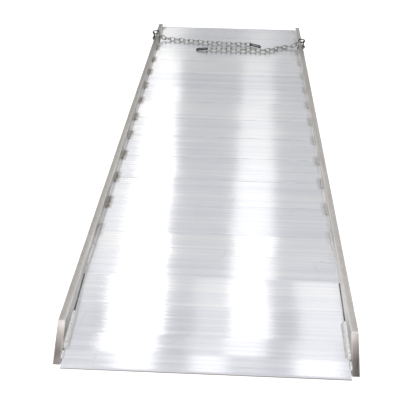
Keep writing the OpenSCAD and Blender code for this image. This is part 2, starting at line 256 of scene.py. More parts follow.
def deck_material():
    """Mill finish planks, drawn across the ramp, so that reflections are smeared along it."""
    w = Net("deck_aluminium", 1, 0.3)
    w.b.inputs["Anisotropic"].default_value = 0.9
    smear = w.nt.nodes.new("ShaderNodeCombineXYZ")
    smear.inputs[1].default_value = 1
    w.link(smear.outputs[0], w.b.inputs["Tangent"])
    back, index, seam = bands(w)
    per_plank = w.white(index)
    other = w.white(w.math("ADD", index, 7.7))
    fine = w.noise(w.scaled(3, 700, 700), 1, 3, 0.6)
    coarse = w.noise(w.scaled(0.8, 95, 95), 1, 2, 0.5)
    streak = w.noise(w.scaled(0.5, 28, 28, (3, 1, 0)), 1, 2, 0.5)
    smudge = w.noise(w.scaled(7, 11, 7), 1, 4, 0.6)
    tone = w.mad(per_plank, 0.16, w.times(coarse, 0.34))
    tone = w.math("ADD", tone, w.mad(fine, 0.3, w.times(streak, 0.3)))
    tone = w.math("MULTIPLY_ADD", w.math("SUBTRACT", smudge, 0.5), 0.22, tone, clamp=True)
    dull, even, bright = (0.69, 0.70, 0.735), (0.785, 0.795, 0.825), (0.92, 0.915, 0.90)
    col = w.ramp(tone, [(0.3, dull), (0.52, even), (0.78, bright)])
    # soft grey line at each seam, broken along its length and faint near the toe
    broken = w.noise(w.scaled(14, 3, 3), 1, 3, 0.6)
    line = w.ramp(seam, [(0.0, 1.0), (0.0011, 0.55), (0.0026, 0.0)])
    line = w.times(line, w.ramp(broken, [(0.38, 0.08), (0.62, 0.8)]))
    line = w.times(line, w.ramp(w.times(back, 0.4), [(0.6, 1.0), (0.78, 0.2)]))
    col = w.mix(line, col, (0.46, 0.46, 0.49))
    # heat tint and soot beside the rails
    near_rail = w.ramp(w.off_centre(), [((HALF_DECK - 20) * MM, 0.0), ((HALF_DECK - 12) * MM, 1.0)])
    col = w.mix(w.times(near_rail, stitch_soot(w, seam)), col, (0.34, 0.315, 0.28))
    # painted shade: deck colour darker towards the high end
    col = w.mix(w.ramp(back, [(0.25, 0.3), (0.45, 0.0)]), col, (0.6, 0.6, 0.6))
    # thin curved scratches
    waves = w.noise(w.scaled(5, 4, 5, (2, 9, 0)), 1, 1, 0.4)
    thin = w.ramp(w.math("ABSOLUTE", w.math("SUBTRACT", waves, 0.5)), [(0.0, 1.0), (0.0022, 0.0)])
    rare = w.ramp(w.noise(w.scaled(9, 7, 9, (4, 0, 2)), 1, 1, 0.4), [(0.58, 0.0), (0.62, 0.3)])
    col = w.mix(w.times(thin, rare), col, (0.56, 0.55, 0.54))
    # dull ground edge of the toe
    edge = w.math("LESS_THAN", w.axis(1), (HIGH - TOE_END + 0.6) * MM)
    w.set(color=w.mix(w.times(edge, 0.85), col, (0.24, 0.19, 0.165)))
    # rougher near the high end, where the chains lie, and on the ground edge
    rough = w.mad(coarse, 0.08, w.times(fine, 0.06))
    rough = w.math("ADD", rough, w.mad(other, 0.04, w.mad(smudge, 0.06, 0.05)))
    rough = w.math("ADD", rough, w.ramp(back, [(0.3, 0.12), (0.5, 0.0)]))
    w.set(rough=w.math("ADD", rough, w.times(edge, 0.3)))
    # each plank sits a hair off level, and its face is drawn with fine lines
    sway = w.noise(w.scaled(2.2, 5, 2), 1, 2, 0.5)
    waver = w.times(w.math("SUBTRACT", sway, 0.5), 0.016)
    lean = w.nt.nodes.new("ShaderNodeCombineXYZ")
    w.link(w.mad(w.math("SUBTRACT", other, 0.5), 0.010, waver), lean.inputs[0])
    face = w.nt.nodes.new("ShaderNodeNewGeometry").outputs["Normal"]
    w.link(w.vector_math("NORMALIZE", w.vector_math("ADD", face, lean.outputs[0])), w.b.inputs["Normal"])
    w.bump(fine, 0.08, 0.0002)
    return w.m


def rail_material():
    """Dull tube, with painted light making it brighter on the right, and darker towards the high end."""
    w = Net("rail_aluminium", 1, 0.42)
    grain = w.noise(w.scaled(500, 4, 500), 1, 3, 0.6)
    mottled = w.noise(w.scaled(16, 7, 16), 1, 4, 0.6)
    spots = w.noise(w.scaled(90, 70, 90), 1, 3, 0.6)
    tone = w.mad(grain, 0.35, w.mad(mottled, 0.4, w.times(spots, 0.25)))
    col = w.ramp(tone, [(0.3, (0.37, 0.355, 0.335)), (0.5, (0.475, 0.46, 0.44)), (0.7, (0.58, 0.57, 0.55))])
    col = w.mix(w.lengthwise([(0.35, 0.0), (0.95, 0.6)]), col, (0.34, 0.33, 0.31))
    scratch = w.noise(w.scaled(260, 2.2, 260, (1, 5, 2)), 1, 1, 0.4)
    col = w.mix(w.ramp(scratch, [(0.66, 0.0), (0.72, 0.5)]), col, (0.68, 0.67, 0.65))
    low = w.ramp(w.axis(2), [(0.004, 0.5), (0.03, 0.0)])
    col = w.mix(w.times(low, mottled), col, (0.25, 0.24, 0.22))
    # painted light: the right rail is brighter than the left; the slight warm cast is the metal's own
    painted_side_light = w.across([(0.45, (0.99, 0.98, 0.955)), (0.55, (1.23, 1.215, 1.19))])
    col = w.mix(1.0, col, painted_side_light, "MULTIPLY")
    # inside face: painted light above the deck and beside the toe, painted shade at its end, sooty at each
    # stitch
    inside = w.math("LESS_THAN", w.off_centre(), (HALF_DECK + 0.5) * MM)
    above_deck = w.ramp(w.axis(2), [(0.039, 0.95), (0.052, 0.25), (0.0625, 0.0)])
    above_deck = w.times(above_deck, w.lengthwise([(0.2, 0.0), (0.32, 1.0)]))
    beside_toe = w.times(w.across([(0.45, 0.42), (0.55, 0.85)]), w.lengthwise([(0.14, 1.0), (0.26, 0.0)]))
    # painted light on the inside face, stronger on the right beside the toe
    painted_inner_light = w.math("MAXIMUM", above_deck, beside_toe)
    col = w.mix(w.times(inside, painted_inner_light), col, (0.93, 0.93, 0.93))
    # painted shade in the gap at the toe end of the inside face
    col = w.mix(w.times(inside, w.lengthwise([(0.06, 0.7), (0.1, 0.0)])), col, (0.17, 0.15, 0.135))
    col = w.mix(w.times(inside, stitch_soot(w, bands(w)[2])), col, (0.34, 0.315, 0.28))
    w.set(color=rim_wear(w, col, (0.78, 0.77, 0.75), 0.0014, 0.8))
    w.set(rough=w.mad(mottled, 0.16, w.mad(grain, 0.12, 0.26)))
    w.bump(grain, 0.2, 0.0002)
    w.bump(spots, 0.25, 0.0002)
    return w.m


def mitre_material():
    """Slanted plates, brighter at the top and darker below, with painted shade on the right plate."""
    w = Net("mitre_aluminium", 1, 0.5)
    grain = w.noise(w.scaled(60, 260, 260), 1, 3, 0.6)
    mottled = w.noise(w.scaled(45, 30, 30), 1, 4, 0.65)
    height = w.mad(w.math("SUBTRACT", mottled, 0.5), 0.25, w.math("DIVIDE", w.axis(2), RAIL_TOP * MM))
    # the plates darken from the top towards the bottom
    bottom, darkest = (0.28, 0.26, 0.25), (0.2, 0.18, 0.17)
    middle, top = (0.44, 0.395, 0.37), (0.78, 0.71, 0.675)
    col = w.ramp(height, [(0.0, bottom), (0.3, darkest), (0.7, middle), (1.0, top)])
    # painted shade: the right plate is darker, most of all towards its bottom
    side = w.times(w.across([(0.4, 0.0), (0.6, 0.75)]), w.ramp(height, [(0.0, 1.0), (0.85, 0.1)]))
    col = w.mix(side, col, (0.095, 0.083, 0.077))
    col = w.mix(w.times(w.ramp(grain, [(0.4, 0.0), (0.7, 1.0)]), 0.12), col, (0.4, 0.36, 0.34))
    w.set(color=rim_wear(w, col, (0.7, 0.66, 0.63), 0.0012, 0.6))
    w.set(rough=w.mad(mottled, 0.25, 0.32))
    w.bump(grain, 0.25, 0.0002)
    w.bump(mottled, 0.3, 0.0004)
    return w.m


def weld_material():
    """Rough weld metal, sooty away from the toe and more so on the left."""
    w = Net("weld", 0.6, 0.45)
    lumps = w.noise(w.scaled(260, 260, 260), 1, 4, 0.65)
    patch = w.noise(w.scaled(35, 22, 35), 1, 4, 0.6)
    col = w.ramp(lumps, [(0.3, (0.5, 0.48, 0.45)), (0.48, (0.8, 0.79, 0.77)), (0.66, (0.94, 0.94, 0.93))])
    soot = w.times(w.lengthwise([(0.2, 0.0), (0.28, 0.95)]), w.across([(0.4, 1.0), (0.6, 0.5)]))
    soot = w.times(soot, w.ramp(patch, [(0.3, 0.6), (0.5, 1.0)]))
    w.set(color=w.mix(soot, col, (0.31, 0.285, 0.255)))
    w.set(rough=w.mad(lumps, 0.25, 0.28))
    w.bump(lumps, 0.5, 0.0005)
    w.bump(w.noise(w.scaled(900, 900, 900), 1, 3, 0.6), 0.3, 0.0002)
    return w.m


def steel_material(name, dirty, middle, bright, rough):
    """Plated steel with faint crystals, dirt and spots of rust."""
    w = Net(name, 1, rough)
    crystals = w.nt.nodes.new("ShaderNodeTexVoronoi")
    crystals.inputs["Scale"].default_value = 560
    w.link(w.co, crystals.inputs["Vector"])
    cells = w.nt.nodes.new("ShaderNodeSeparateXYZ")
    w.link(crystals.outputs["Color"], cells.inputs[0])
    dirt = w.noise(w.scaled(120, 120, 120), 1, 4, 0.65)
    tone = w.mad(cells.outputs[0], 0.12, w.times(dirt, 0.88))
    col = w.ramp(tone, [(0.25, dirty), (0.5, middle), (0.75, bright)])
    rust = w.ramp(w.noise(w.scaled(75, 75, 75, (5, 2, 1)), 1, 4, 0.7), [(0.62, 0.0), (0.72, 0.5)])
    w.set(color=w.mix(rust, col, (0.2, 0.14, 0.09)))
    w.set(rough=w.mad(dirt, 0.2, rough - 0.1))
    w.bump(dirt, 0.3, 0.0003)
    return w.m


deck = deck_material()
rail = rail_material()
mitre = mitre_material()
weld = weld_material()
galvanised = steel_material(
    "galvanised_steel", (0.14, 0.14, 0.125), (0.44, 0.44, 0.42), (0.74, 0.74, 0.72), 0.3)
dark = steel_material("dark_steel", (0.01, 0.01, 0.007), (0.03, 0.03, 0.024), (0.12, 0.12, 0.10), 0.36)
zinc = steel_material("zinc_hardware", (0.14, 0.14, 0.125), (0.3, 0.3, 0.28), (0.56, 0.56, 0.54), 0.34)


def finish_of(node):
    """Material and material slot of a node."""
    if node.startswith(("plank", "approach", "toe_plank", "top_lip")):
        return deck, "deck_aluminium"
    if "weld" in node:
        return weld, "weld"
    if node.startswith("mitre"):
        return mitre, "rail_aluminium"
    if node.startswith(("rail", "end_cap")):
        return rail, "rail_aluminium"
    if node.endswith("chain_anchor") or "hook" in node or node in ("u_bolt_left", "u_bolt_right"):
        return dark, "dark_steel"
    if "chain" in node:
        return galvanised, "galvanised_steel"
    return zinc, "zinc_hardware"


for name, ob in nodes.items():
    ob.data.materials.clear()
    ob.data.materials.append(finish_of(name)[0])


# ---------------------------------------------------------------- mesh tools
def piece(name, shells, body, node, smooth=35):
    """One closed mesh object made of several shells, each (verts, faces) in metres."""
    verts, faces = [], []
    for v, f in shells:
        k = len(verts)
        verts += [tuple(p) for p in v]
        faces += [tuple(i + k for i in q) for q in f]
    me = bpy.data.meshes.new(name)
    me.from_pydata(verts, [], faces)
    bm = bmesh.new()
    bm.from_mesh(me)
    bmesh.ops.recalc_face_normals(bm, faces=bm.faces)
    bm.to_mesh(me)
    bm.free()
    place(name, me, body, node, smooth)


def place(name, me, body, node, smooth=35):
    """Shade a mesh, put it on its body and let it stand for its CAD node."""
    for p in me.polygons:
        p.use_smooth = True
    me.set_sharp_from_angle(angle=radians(smooth))
    material, slot = finish_of(node)
    me.materials.clear()
    me.materials.append(material)
    ob = bpy.data.objects.new(name, me)
    scene.collection.objects.link(ob)
    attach(ob, body)
    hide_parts(node)


def softened(node, body, width):
    """A copy of a CAD node with its sharp edges rounded."""
    me = nodes[node].data.copy()
    bm = bmesh.new()
    bm.from_mesh(me)
    bmesh.ops.remove_doubles(bm, verts=bm.verts, dist=1e-6)
    bmesh.ops.dissolve_limit(bm, angle_limit=radians(0.5), verts=bm.verts, edges=bm.edges)
    edges = [e for e in bm.edges if len(e.link_faces) == 2 and e.calc_face_angle(0) > radians(28)]
    bmesh.ops.bevel(
        bm, geom=edges, offset=width, segments=2, profile=0.6, affect="EDGES", clamp_overlap=True)
    bmesh.ops.recalc_face_normals(bm, faces=bm.faces)
    bm.to_mesh(me)
    bm.free()
    place(node + "_finished", me, body, node)


def ring_faces(rows, columns, closed):
    """Quads between rows of columns points. An open run of rows gets a cap at each end."""
    faces = []
    for i in range(rows if closed else rows - 1):
        j = (i + 1) % rows
        for k in range(columns):
            k2 = (k + 1) % columns
            faces.append((i * columns + k, i * columns + k2, j * columns + k2, j * columns + k))
    if not closed:
        faces.append(tuple(range(columns)))
        faces.append(tuple((rows - 1) * columns + k for k in reversed(range(columns))))
    return faces


def sweep(path, b, radius, closed, sides=14, squash=1.0):
    """A tube along a flat path. b is the path's plane normal; radius(i, angle) gives the section."""
    n, verts = len(path), []
    for i, p in enumerate(path):
        if closed:
            t = path[(i + 1) % n] - path[i - 1]
        else:
            t = path[min(i + 1, n - 1)] - path[max(i - 1, 0)]
        side = b.cross(t.normalized()).normalized()
        for k in range(sides):
            a = 2 * pi * k / sides
            verts.append(p + radius(i, a) * (cos(a) * side + squash * sin(a) * b))
    return verts, ring_faces(n, sides, closed)


def spun(profile, origin, axis, side, count=32, shape=None):
    """A ring solid: the (radius, height) loop in mm, spun about axis. shape changes the radius."""
    other = axis.cross(side).normalized()
    verts = []
    for k in range(count):
        a = 2 * pi * k / count
        d = cos(a) * side + sin(a) * other
        for r, h in profile:
            verts.append(origin + (axis * h + d * (shape(a, r, h) if shape else r)) * MM)
    return verts, ring_faces(count, len(profile), True)


def slab(outline, origin, u, v, half, chamfer):
    """A flat plate with chamfered rims from a convex outline of (u, v) points, all in metres."""
    cu = sum(p[0] for p in outline) / len(outline)
    cv = sum(p[1] for p in outline) / len(outline)
    w = u.cross(v).normalized()
    verts = []
    for h, inset in ((-half, chamfer), (-half + chamfer, 0), (half - chamfer, 0), (half, chamfer)):
        for a, c in outline:
            k = 1 - inset / max((a - cu) ** 2 + (c - cv) ** 2, 1e-12) ** 0.5
            verts.append(origin + u * (cu + (a - cu) * k) + v * (cv + (c - cv) * k) + w * h)
    return verts, ring_faces(4, len(outline), False)


# ---------------------------------------------------------------- chain, in mm
# Wire radius, radius of a link's bend and length of its straight side.
WIRE, LOOP, STRAIGHT = 2.75, 7.75, 14.9
# Pitch of the links: REACH from a link's centre to the wire at its end, NEAR from there to the next.
STEP, REACH, NEAR = 24.6, 15.2, 9.4
ROD, GAP = 3.0, 0.3
REST = DECK_TOP + 0.6 + LOOP + WIRE + 0.2
FIRST_LOW = HIGH_LEG - ROD - GAP - WIRE
ANCHOR_X = RAIL_OUTER + 4.5
HOOK_ROD, HOOK_BEND, HOOK_STRAIGHT, HOOK_NOSE = 3.0, 9.5, 36.0, 32.6
HOOK_STEP = NEAR + WIRE - HOOK_ROD
# Pitch of links 1 to 4, heading of every link and the hook in degrees, and each part's last link.
DIVE = (90, 8, -46, -34)
HEADINGS = {
    "left": [0, 0, 0, 0, 0, 5, 9, 12, 9, 7, 6, 9, 10, 6, 3, 5, 9, 6, 1, -3, -2, 4, 12],
    "right": [0, 0, 0, 0, 0, 16, 30, 38, 32, 18, 6, -4, -7, 3, 9, 2, -7, -4, 3, 1, -3, 2, -6],
}
BODIES = {"anchor": "root", "a": "first", "b": "middle", "c": "last"}
LAST_LINKS = {"left": (2, 9, 15, 22), "right": (2, 11, 16, 22)}


def unit(degree):
    """Direction in a plane, as a vector of length 1."""
    return Vector((cos(radians(degree)), sin(radians(degree))))


def drop_path():
    """Links 1 to 5, which fall from the rail to the deck: inward distance and height."""
    pos = {1: Vector((0, FIRST_LOW + REACH))}
    ang = {i + 1: a for i, a in enumerate(DIVE)}
    for k in (2, 3, 4):
        share = REACH if k % 2 == 0 else NEAR
        pos[k] = pos[k - 1] + share * unit(ang[k - 1]) + (STEP - share) * unit(ang[k])
    touch = pos[4].y + NEAR * sin(radians(ang[4]))
    ang[5] = -degrees(asin((touch - REST) / (2 * REACH)))
    pos[5] = pos[4] + NEAR * unit(ang[4]) + (STEP - NEAR) * unit(ang[5])
    return pos, ang


def directions(head, pitch):
    """Length direction and the two cross directions of a piece with this heading and pitch."""
    along = Vector((cos(pitch) * cos(head), -cos(pitch) * sin(head), sin(pitch)))
    flat = Vector((sin(head), cos(head), 0))
    return along, flat, along.cross(flat)


def mirrored(hand, vectors):
    """The same vectors, mirrored for the right-hand chain, which runs towards -x."""
    return [Vector((-v.x, v.y, v.z)) if hand == "right" else v for v in vectors]


def link_frame(hand, k):
    """Centre and directions of link k, as if the chain hung on the left, in metres."""
    heads = HEADINGS[hand]
    pos, ang = drop_path()
    if k <= 5:
        inward, height, off, head, pitch = pos[k].x, pos[k].y, 0, 0, radians(ang[k])
    else:
        run = Vector((pos[5].x, 0))
        for i in range(6, k + 1):
            share = NEAR if (i - 1) % 2 else REACH
            run = run + share * unit(heads[i - 2]) + (STEP - share) * unit(heads[i - 1])
        inward, height, off, head, pitch = run.x, REST, run.y, radians(heads[k - 1]), 0
    centre = Vector((-ANCHOR_X + inward, HIGH - ANCHOR_BACK[hand] - off, height)) * MM
    return [centre, *directions(head, pitch)]


def link_shell(hand, k):
    """A welded link: round wire with a weld swelling in the middle of one side."""
    centre, d, y, z = mirrored(hand, link_frame(hand, k))
    across = y if k % 2 else z
    side, turn, arc, run = STRAIGHT * MM, LOOP * MM, 11, 9
    path = []
    for way in (1, -1):
        for i in range(run):
            path.append(centre + way * (d * (side * (i / run - 0.5)) - across * turn))
        for i in range(arc):
            a = pi * i / arc - pi / 2
            path.append(centre + way * (d * (side / 2 + turn * cos(a)) + across * turn * sin(a)))
    ripple = [rnd.uniform(-0.02, 0.02) for _ in path]

    def radius(i, a):
        swell = 0.17 * exp(-((i - run / 2) / 1.3) ** 2)
        return WIRE * MM * (1 + swell * max(0.0, cos(a)) - abs(ripple[i]))

    return sweep(path, d.cross(across).normalized(), radius, True, 12)


def hook_frame(hand):
    """Centre of the hook's back bend and its directions, in metres."""
    pos, d = link_frame(hand, 22)[:2]
    along, flat, up = directions(radians(HEADINGS[hand][22]), -radians(7.5))
    origin = pos + (HOOK_STEP * d + HOOK_BEND * along) * MM
    return mirrored(hand, [origin, along, flat, up])


def hook_shells(o, d, y):
    """The forged rod from gate hinge round to the nose, with the hinge cheek and the nose lip."""
    bend, straight, nose = HOOK_BEND * MM, HOOK_STRAIGHT * MM, HOOK_NOSE * MM
    path = [o + d * (x * MM) + y * bend for x in (0.6, 0.35, 0.0)]
    for i in range(1, 16):
        a = pi / 2 + pi * i / 16
        path.append(o + d * (bend * cos(a)) + y * (bend * sin(a)))
    path += [o + d * (straight * i / 14) - y * bend for i in range(15)]
    for i in range(1, 16):
        a = -pi / 2 + pi * i / 16
        path.append(o + d * (straight + bend * cos(a)) + y * (bend * sin(a)))
    ends = (straight, straight - 1.2 * MM, nose + 0.5 * MM, nose + 0.2 * MM, nose)
    path += [o + d * x + y * bend for x in ends]
    last = len(path) - 1

    def radius(i, a):
        return HOOK_ROD * MM * {0: 0.86, 1: 0.96}.get(min(i, last - i), 1.0)

    shells = [sweep(path, d.cross(y).normalized(), radius, False, 16, 0.94)]
    eye, hinge, back = 2.3 * MM, 4 * MM, -0.6 * MM
    cheek = [(back, bend - eye)]
    for degree in range(-90, 91, 15):
        cheek.append((hinge + eye * cos(radians(degree)), bend + eye * sin(radians(degree))))
    cheek.append((back, bend + eye))
    start, stop, half = 28.8 * MM, nose + 1.0 * MM, 1.6 * MM
    lip = [(start, bend - half), (stop, bend - half), (stop, bend + half), (start, bend + half)]
    return shells + [slab(outline, o, d, y, 1.1 * MM, 0.2 * MM) for outline in (cheek, lip)]


def pin_shell(o, d, y):
    """The rivet that the gate swings on."""
    at = o + (d * 4 + y * HOOK_BEND) * MM
    profile = [(0.0002, -2.7), (0.7, -2.7), (1.0, -2.5), (1.0, 2.5), (0.7, 2.7), (0.0002, 2.7)]
    return spun(profile, at, d.cross(y).normalized(), d, 20)


for hand, last_links in LAST_LINKS.items():
    first = 1
    for (part, body), last in zip(BODIES.items(), last_links):
        shells = [link_shell(hand, k) for k in range(first, last + 1)]
        piece(f"{hand}_chain_{part}_links", shells, f"{hand}_chain_{body}", f"{hand}_chain_{part}")
        first = last + 1
    origin, along, flat = hook_frame(hand)[:3]
    end = f"{hand}_end_hook"
    piece(f"{hand}_hook_forged", hook_shells(origin, along, flat), end, f"{hand}_hook")
    piece(f"{hand}_gate_pin_riveted", [pin_shell(origin, along, flat)], end, f"{hand}_gate_pin")
    softened(f"{hand}_hook_gate", f"{hand}_gate", 0.0003)


# ---------------------------------------------------------------- U-bolts, nuts and washers
def bolt_shell(hand):
    """The bent rod: threaded ends inside the rail and a square bow outside it."""
    sign, y = SIDES[hand], HIGH - ANCHOR_BACK[hand]
    outer, corner, thread = RAIL_OUTER + 6.5, 5.0, 34
    half = [(HALF_DECK - 5.4 + 0.25 * k, HIGH_LEG) for k in range(thread)]
    half += [(x, HIGH_LEG) for x in (HALF_DECK + 3.1, HALF_DECK + 10, HALF_DECK + 18, outer)]
    for i in range(1, 9):
        a = pi / 2 - (pi / 2) * i / 8
        half.append((outer + corner * cos(a), HIGH_LEG - corner + corner * sin(a)))
    other = [(x, LOW_LEG + HIGH_LEG - z) for x, z in reversed(half)]
    path = [Vector((sign * x, y, z)) * MM for x, z in half + other]
    last = len(path) - 1

    def radius(i, a):
        k = min(i, last - i)
        if k < 2:
            return (2.45 + 0.2 * k) * MM
        if k < thread:
            return (ROD - 0.28 * abs(((k * 0.25 + a / (2 * pi)) % 1.0) * 2 - 1)) * MM
        return ROD * MM

    return sweep(path, Vector((0, 1, 0)), radius, False, 18)


def washer_shell(sign, y, z):
    """A flat washer against the rail's inside face."""
    profile = [(3.2, 0), (5.8, 0), (6.0, 0.2), (6.0, 1.0), (5.8, WASHER), (3.2, WASHER)]
    origin = Vector((sign * (HALF_DECK - WASHER), y, z)) * MM
    return spun(profile, origin, Vector((sign, 0, 0)), Vector((0, 0, 1)))


def nut_shell(sign, y, z, turn):
    """Hexagon nut with chamfered corners and a countersunk bore."""
    profile = [(3.05, 0.35), (3.4, 0), (4.4, 0), (6, 0.3), (6, 0.9), (6, 1.6)]
    profile += [(6, 2.3), (6, 2.9), (4.4, NUT), (3.4, NUT), (3.05, NUT - 0.35)]

    def shape(a, r, h):
        if r < 5:
            return r
        flat = 5 / cos((a + turn) % (pi / 3) - pi / 6)
        return min(flat, 4.7 + min(h, NUT - h) * 1.9)

    origin = Vector((sign * (HALF_DECK - WASHER - NUT), y, z)) * MM
    return spun(profile, origin, Vector((sign, 0, 0)), Vector((0, 0, 1)), 48, shape)


washers, nuts = [], []
for hand, turns in (("left", (0.3, 0.9)), ("right", (0.1, 0.6))):
    for z, turn in zip((LOW_LEG, HIGH_LEG), turns):
        at = SIDES[hand], HIGH - ANCHOR_BACK[hand], z
        washers.append(washer_shell(*at))
        nuts.append(nut_shell(*at, turn))
    piece(f"u_bolt_{hand}_rod", [bolt_shell(hand)], "ramp", f"u_bolt_{hand}")
piece("u_bolt_washer_set", washers, "ramp", "u_bolt_washers")
piece("u_bolt_nut_set", nuts, "ramp", "u_bolt_nuts", 25)


# ---------------------------------------------------------------- welds
def bead_shell(corner, along, out, up, length, size, pitch=3.4):
    """A fillet bead in the corner of two faces: overlapping ripples, uneven legs and rounded ends."""
    rows, cols = max(12, int(length / 0.8)), 9
    seed = rnd.uniform(0, 50)
    verts = []
    for i in range(rows + 1):
        u = length * (i / rows - 0.5)
        e = min(1.0, (length / 2 - abs(u)) / size)
        cap = max(0.12, (1 - (1 - e) ** 2) ** 0.5)
        wander = 0.5 + 0.5 * sin(u * 0.31 + seed) * sin(u * 0.13 + 2 * seed)
        verts.append(corner + along * (u * MM))
        for k in range(cols + 1):
            a = (pi / 2) * k / cols
            wave = abs(sin(pi * (u + 1.6 * sin(2 * a)) / pitch))
            lump = 0.5 + 0.5 * sin(u * 0.9 + 3 * a + seed)
            r = size * cap * (0.80 + 0.10 * wave + 0.06 * wander + 0.04 * lump)
            verts.append(corner + (along * u + out * (r * cos(a)) + up * (r * sin(a))) * MM)
    return verts, ring_faces(rows + 1, cols + 2, False)


def deck_beads(sign, long_runs):
    """A stitch at each wide seam, and long runs beside the narrow planks."""
    spots = [(i * WIDE, 46 + 8 * (i % 3)) for i in range(1, WIDE_COUNT)]
    spots += [(WIDE_COUNT * WIDE + (i + 0.18) * NARROW, 88) for i in range(long_runs)]
    out, up, along = Vector((-sign, 0, 0)), Vector((0, 0, 1)), Vector((0, 1, 0))
    shells = []
    for back, length in spots:
        corner = Vector((sign * HALF_DECK, HIGH - back, DECK_TOP)) * MM
        shells.append(bead_shell(corner, along, out, up, length, 6))
    return shells


def toe_beads(sign):
    """One thick bead beside the sloped toe and a short thin one beside its bevel."""
    slope = atan2(DECK_TOP - BEND_HEIGHT, BEND - SLOPE_START)
    bevel = atan2(BEND_HEIGHT - TOE_EDGE, TOE_END - BEND)
    start, stop = TOE_START + 34, BEND - 1
    middle, low = (start + stop) / 2, BEND + 14
    shells = []
    for back, length, z, tilt, size in (
        (middle, stop - start, slope_z(middle), slope, 13),
        (low, 26, bevel_z(low), bevel, 6),
    ):
        along = Vector((0, cos(tilt), sin(tilt)))
        up = Vector((0, -sin(tilt), cos(tilt)))
        corner = Vector((sign * HALF_DECK, HIGH - back, z)) * MM
        shells.append(bead_shell(corner, along, Vector((-sign, 0, 0)), up, length, size, 5.2))
    return shells


def mitre_bead(sign):
    """The lumpy bead across the top edge of a slanted plate."""
    y = HIGH - (TOE_END - 12 - MITRE_RUN)
    path = [Vector((sign * (HALF_DECK + 0.6 + 17.8 * i / 24), y, RAIL_TOP)) * MM for i in range(25)]
    seed = rnd.uniform(0, 9)

    def radius(i, a):
        cap = {0: 0.35, 1: 0.75}.get(min(i, 24 - i), 1.0)
        return 2.4 * MM * cap * (0.84 + 0.14 * abs(sin(i * 0.75 + seed + 0.6 * cos(a))))

    return sweep(path, Vector((0, 1, 0)), radius, False, 14)


def lip_beads():
    """Five short beads under the lip, against the first plank."""
    along, out, up = Vector((1, 0, 0)), Vector((0, 1, 0)), Vector((0, 0, -1))
    z = DECK_TOP - LIP_PLATE - LIP_ROOT * tan(LIP_ANGLE)
    shells = []
    for i in range(-2, 3):
        corner = Vector((i * 2 * HALF_DECK / 5, HIGH, z)) * MM
        shells.append(bead_shell(corner, along, out, up, 44, 4))
    return shells


piece("deck_welds_left_beads", deck_beads(-1, 2), "ramp", "deck_welds_left", 50)
piece("deck_welds_right_beads", deck_beads(1, 1), "ramp", "deck_welds_right", 50)
piece("toe_weld_beads", toe_beads(-1) + toe_beads(1), "ramp", "toe_welds", 50)
piece("mitre_weld_beads", [mitre_bead(-1), mitre_bead(1)], "ramp", "mitre_welds", 50)
piece("lip_weld_beads", lip_beads(), "ramp", "lip_welds", 50)


# ---------------------------------------------------------------- planks, in mm
RIB = 0.08
CLEAR = 0.05


def rib_points(start, end, count, top):
    """Top surface points with low rounded ribs; top(back) is the plain surface height."""
    points = []
    for i in range(count):
        middle = start + (i + 0.5) * (end - start) / count
        for k in range(-3, 4):
            back = middle + k * 0.8
            points.append((back, top(back) + RIB * (0.5 + 0.5 * cos(pi * k / 3))))
    return points


def plank_loop(start, pitch, legs):
    """Skin with ribs on top, legs below it and a foot under each leg."""
    skin, leg, foot, low = 2.6, 2.4, 9.0, 1.0
    bay = (pitch - leg) / (legs - 1)
    rim = ((CLEAR, -0.5), (0.12, -0.16), (0.3, 0))
    loop = [(start + x, DECK_TOP + z) for x, z in rim]
    loop += rib_points(start, start + pitch, round(pitch / 12.7), lambda back: DECK_TOP)
    loop += [(start + pitch - x, DECK_TOP + z) for x, z in reversed(rim)]
    ceiling, sole = DECK_TOP - skin, low + leg
    for i in reversed(range(legs)):
        a = start + i * bay
        a0, a1 = max(a, start + CLEAR), min(a + leg, start + pitch - CLEAR)
        if i == legs - 1:
            loop += [(a1, low), (a1 - foot, low), (a1 - foot, sole), (a0, sole), (a0, ceiling)]
        else:
            loop += [(a1, ceiling), (a1, sole), (a0 + foot, sole), (a0 + foot, low), (a0, low)]
            loop += [(a0, ceiling)] if i else []
    return loop


def approach_loop():
    """The first sloped plank, with a leg at each end and their feet turned inwards."""
    a, b = SLOPE_START, TOE_START
    high, low = slope_z(b), 1
    loop = [(a + CLEAR, DECK_TOP - 0.4), (a + 0.4, DECK_TOP)] + rib_points(a, b, 8, slope_z)
    loop += [(b - 0.4, slope_z(b - 0.4)), (b - CLEAR, high - 0.35), (b - CLEAR, low), (b - 12, low)]
    loop += [(b - 12, 3.4), (b - 2.4, 3.4), (b - 2.4, high - 2.5)]
    loop += [(a + 2.4, DECK_TOP - 2.8), (a + 2.4, 3.4), (a + 12, 3.4), (a + 12, low)]
    return loop + [(a + CLEAR, low)]


def toe_loop():
    """The toe: a sloped skin with a leg, a web and a solid bevelled nose."""
    a, b, end = TOE_START, BEND, TOE_END
    web, solid = (a + b) / 2 + 12, b - 8

    def under(back):
        return back, slope_z(back) - 3.2

    loop = [(a + CLEAR, slope_z(a) - 0.35), (a + 0.4, slope_z(a + 0.4))] + rib_points(a, b, 12, slope_z)
    loop += [(b - 1.2, slope_z(b - 1.2)), (b, BEND_HEIGHT - 0.05), (b + 1.2, bevel_z(b + 1.2))]
    loop += rib_points(b, end - 5.6, 4, bevel_z)
    loop += [(end - 0.7, bevel_z(end - 0.7)), (end - 0.1, 2.8), (end, 2.5), (end, 0.3), (end - 0.3, 0)]
    loop += [(solid, 0), under(solid), under(web + 2.4), (web + 2.4, 2.4), (web + 8, 2.4), (web + 8, 0)]
    loop += [(web - 6, 0), (web - 6, 2.4), (web, 2.4), under(web), under(a + 2.4)]
    return loop + [(a + 2.4, 2.4), (a + 14, 2.4), (a + 14, 0), (a + CLEAR, 0)]


def plank_piece(node, loop, width, level=0.0):
    """A loop of (distance back, height), extruded across the ramp and set a hair off level."""
    verts = []
    for x in (-width / 2, width / 2):
        verts += [(x * MM, (HIGH - back) * MM, (z + level) * MM) for back, z in loop]
    piece(node + "_extrusion", [(verts, ring_faces(2, len(loop), False))], "ramp", node, 22)


